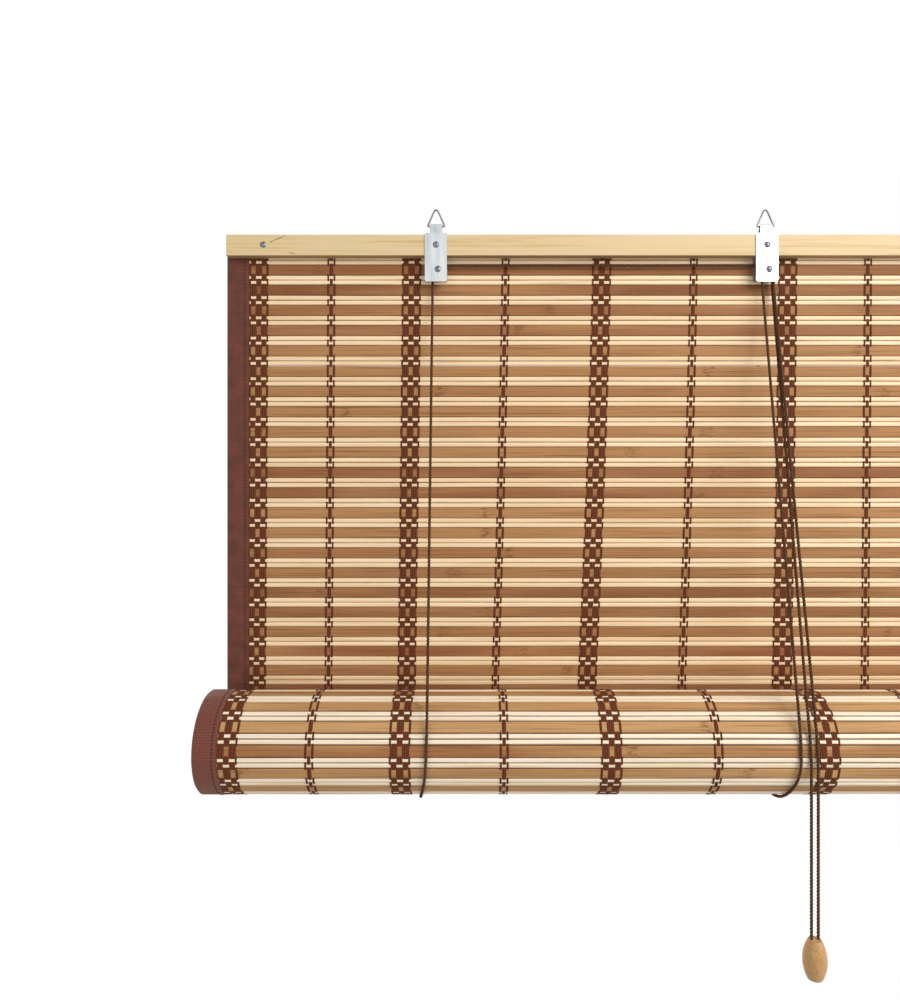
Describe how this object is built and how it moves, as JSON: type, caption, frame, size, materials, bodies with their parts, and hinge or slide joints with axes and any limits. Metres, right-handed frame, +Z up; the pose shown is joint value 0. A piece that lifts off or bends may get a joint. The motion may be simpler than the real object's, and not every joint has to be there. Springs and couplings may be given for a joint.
{
  "type": "bamboo roll up blind",
  "caption": "Roll-up blind of woven bamboo slats and thin sticks with brown tape edges, a wooden head rail, sheet brackets with pulleys and rings, and lift cords round the rolled lower part",
  "frame": {"origin": "on the rear face of the back head rail, at mid-width and at the mid-height of the front head rail", "axes": "+X to the viewer's right along the rail, +Y back to the wall, +Z up; the front faces -Y"},
  "size_m": [0.753, 0.1178, 0.711],
  "materials": {
    "rail_wood": "pale planed wood",
    "bamboo_mat": "woven bamboo slats and sticks",
    "binding_tape": "woven brown tape",
    "warp_yarn": "brown yarn",
    "zinc_steel": "bright zinc sheet",
    "steel_fixings": "zinc plated",
    "pulley_plastic": "moulded",
    "lift_cord": "twisted brown cord",
    "knob_wood": "turned wood"
  },
  "bodies": {
    "head": {"front_rail": "rail_wood", "back_rail": "rail_wood", "rail_screws": "steel_fixings", "bracket_screws": "steel_fixings", "hanging_mat": "bamboo_mat", "left_binding": "binding_tape", "right_binding": "binding_tape", "front_warp_bands": "warp_yarn", "back_warp_bands": "warp_yarn", "left_bracket": "zinc_steel", "right_bracket": "zinc_steel", "left_axle": "steel_fixings", "right_axle": "steel_fixings", "left_cord_back": "lift_cord", "right_cord_back": "lift_cord", "left_cord_top": "lift_cord", "right_cord_top": "lift_cord", "left_cord_knot": "lift_cord", "right_cord_knot": "lift_cord"},
    "cradle": {"left_cord_loop": "lift_cord", "right_cord_loop": "lift_cord", "left_cord_pull": "lift_cord", "right_cord_pull": "lift_cord"},
    "roll": {"roll_mat": "bamboo_mat", "roll_left_binding": "binding_tape", "roll_right_binding": "binding_tape", "roll_warp_bands": "warp_yarn", "bottom_rail": "rail_wood"},
    "pull": {"pull_knob": "knob_wood"},
    "left_ring": {"left_ring": "steel_fixings"},
    "right_ring": {"right_ring": "steel_fixings"},
    "left_pulley": {"left_pulley": "pulley_plastic"},
    "right_pulley": {"right_pulley": "pulley_plastic"}
  },
  "joints": [
    {"name": "roll_lift", "type": "slide", "parent": "head", "child": "cradle", "axis": [0, 0, 1], "range_m": [0, 0.35], "deforming": ["hanging_mat", "left_binding", "right_binding", "front_warp_bands", "back_warp_bands", "left_cord_back", "right_cord_back", "left_cord_top", "right_cord_top"]},
    {"name": "roll_turn", "type": "hinge", "parent": "cradle", "child": "roll", "pos_m": [0, -0.059, -0.4816], "axis": [1, 0, 0], "range_deg": [-413, 1]},
    {"name": "pull_drop", "type": "slide", "parent": "cradle", "child": "pull", "axis": [0, 0, -1], "range_m": [0, 1.06], "deforming": ["left_cord_pull", "right_cord_pull"]},
    {"name": "left_pulley_turn", "type": "hinge", "parent": "head", "child": "left_pulley", "pos_m": [-0.163, -0.01603, -0.0243], "axis": [0, 1, 0], "continuous": true},
    {"name": "right_pulley_turn", "type": "hinge", "parent": "head", "child": "right_pulley", "pos_m": [0.167, -0.01603, -0.0243], "axis": [0, 1, 0], "continuous": true},
    {"name": "left_ring_swing", "type": "hinge", "parent": "head", "child": "left_ring", "pos_m": [-0.165, -0.01603, 0.0197], "axis": [1, 0, 0], "range_deg": [-85, 85]},
    {"name": "right_ring_swing", "type": "hinge", "parent": "head", "child": "right_ring", "pos_m": [0.165, -0.01603, 0.0197], "axis": [1, 0, 0], "range_deg": [-85, 85]}
  ],
  "couplings": [
    {"joint": "roll_turn", "follows": "roll_lift", "rad_per_m": -20.517},
    {"joint": "pull_drop", "follows": "roll_lift", "ratio": 3}
  ]
}
